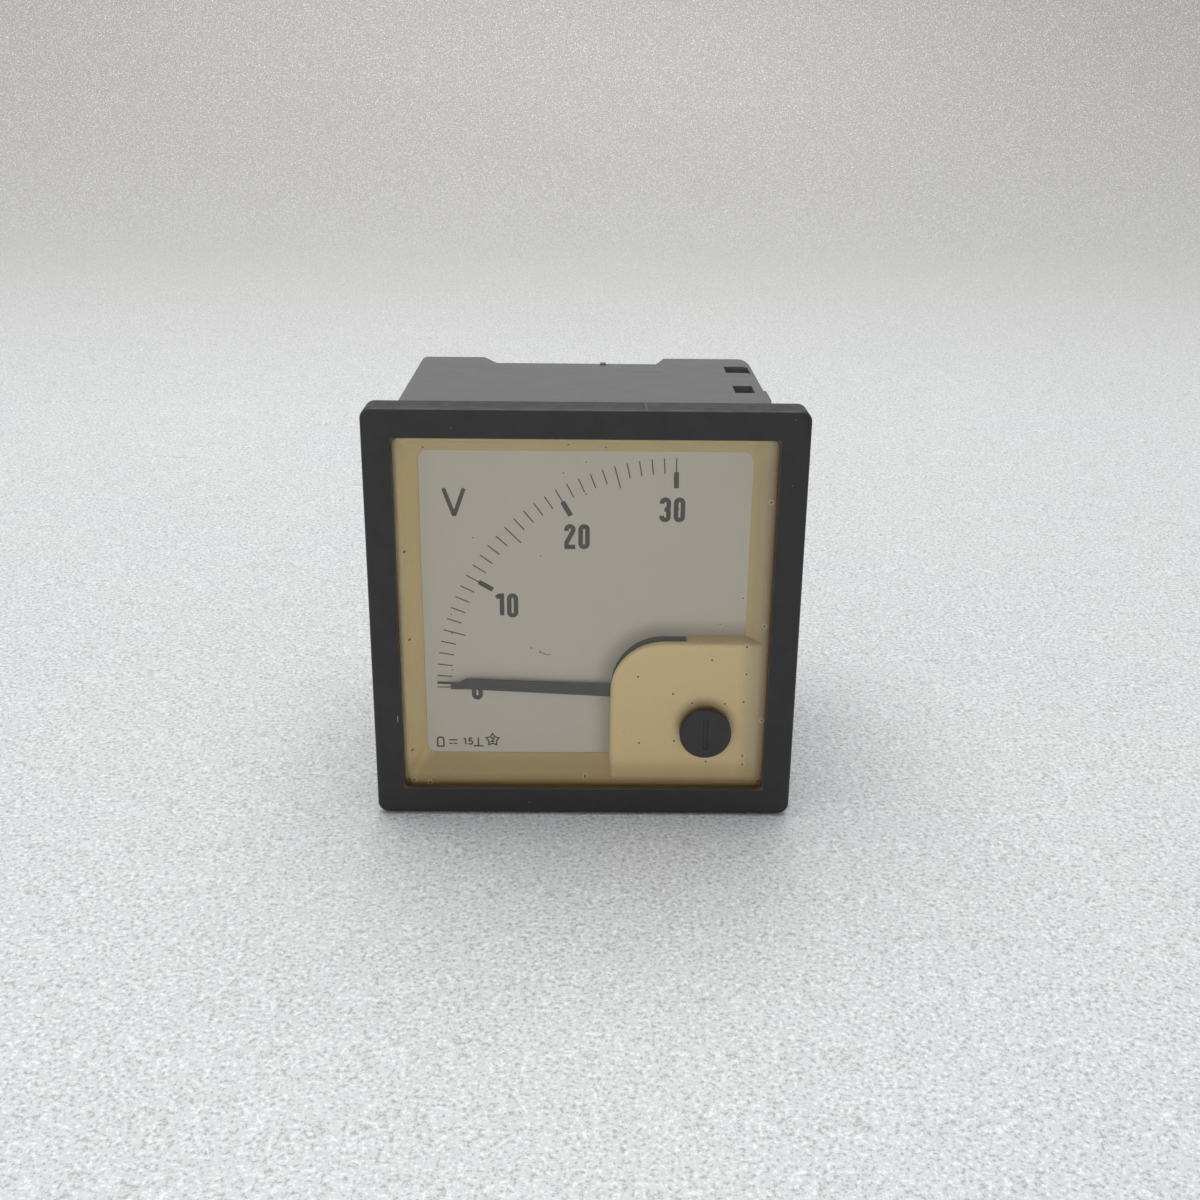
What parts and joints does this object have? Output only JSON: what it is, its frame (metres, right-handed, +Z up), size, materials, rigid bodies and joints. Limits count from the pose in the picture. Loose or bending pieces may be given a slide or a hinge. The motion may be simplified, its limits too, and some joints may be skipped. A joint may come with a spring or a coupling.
{
  "type": "analog panel meter",
  "caption": "Square moving-coil panel voltmeter: pointer over a quarter-circle scale, glazed front frame, closed housing with clamp slots and rear terminal studs.",
  "frame": {"origin": "centre of the panel seat, the plane where the back of the front frame meets the panel", "axes": "+X to the right and +Z up as the dial is read from the front, +Y into the panel, square to the dial"},
  "size_m": [0.072, 0.0675, 0.072],
  "materials": {
    "front_frame_plastic": "dark moulded plastic with a fine satin sheen and light scratches",
    "housing_plastic": "dark grey moulded plastic, matt",
    "clear_window": "clear moulded window, slightly yellowed",
    "cream_plastic": "cream moulded plastic, yellowed with age",
    "dial_paint": "pale grey painted sheet",
    "black_print": "flat black ink",
    "black_plastic": "black moulded plastic, satin",
    "pointer_paint": "thin aluminium sheet, painted dark grey",
    "brass": "turned and stamped brass",
    "steel": "plated steel",
    "spring_bronze": "fine bronze strip",
    "bare_aluminium": "folded aluminium",
    "copper_winding": "enamelled copper wire",
    "soft_iron": "machined soft iron",
    "magnet_alloy": "ground magnet alloy",
    "diecast": "die-cast base, as cast",
    "resistor_body": "lacquered resistor body",
    "wire_sleeve": "red plastic sleeve"
  },
  "bodies": {
    "case": {"front_bezel": "front_frame_plastic", "window_glass": "clear_window", "scale_surround": "cream_plastic", "dial_plate": "dial_paint", "scale_print": "black_print", "dial_screws": "brass", "dial_pillars": "brass", "housing": "housing_plastic", "front_jewel_screw": "brass", "rear_jewel_screw": "brass", "jewel_lock_nuts": "brass", "front_bridge": "brass", "front_bridge_posts": "brass", "front_bridge_screws": "steel", "rear_bridge": "brass", "rear_bridge_screws": "steel", "rear_spring_tag": "brass", "magnet_core": "magnet_alloy", "yoke_ring": "soft_iron", "core_spacers": "diecast", "movement_base": "diecast", "base_screws": "steel", "terminal_studs": "brass", "terminal_washers": "brass", "terminal_nuts": "brass", "solder_lugs": "brass", "multiplier_resistor": "resistor_body", "connecting_wires": "wire_sleeve"},
    "moving_coil": {"pointer": "pointer_paint", "balance_arms": "bare_aluminium", "balance_weights": "brass", "coil_former": "bare_aluminium", "coil_winding": "copper_winding", "front_pivot": "steel", "rear_pivot": "steel", "front_hairspring": "spring_bronze", "rear_hairspring": "spring_bronze"},
    "zero_screw": {"zero_screw": "black_plastic", "zero_screw_clip": "steel"},
    "zero_lever": {"zero_lever": "brass"}
  },
  "joints": [
    {"name": "pointer_swing", "type": "hinge", "parent": "case", "child": "moving_coil", "pos_m": [0.0157, 0, -0.015], "axis": [0, 1, 0], "range_deg": [-4, 90.5], "stiffness_Nm_per_rad": 0.00005, "deforming": ["front_hairspring", "rear_hairspring"]},
    {"name": "zero_screw_turn", "type": "hinge", "parent": "case", "child": "zero_screw", "pos_m": [0.0209, 0, -0.0206], "axis": [0, 1, 0], "range_deg": [-60, 60]},
    {"name": "zero_lever_swing", "type": "hinge", "parent": "case", "child": "zero_lever", "pos_m": [0.0157, 0, -0.015], "axis": [0, 1, 0], "range_deg": [-6.5, 6.5]}
  ],
  "couplings": [
    {"joint": "zero_lever_swing", "follows": "zero_screw_turn", "ratio": 0.105}
  ]
}
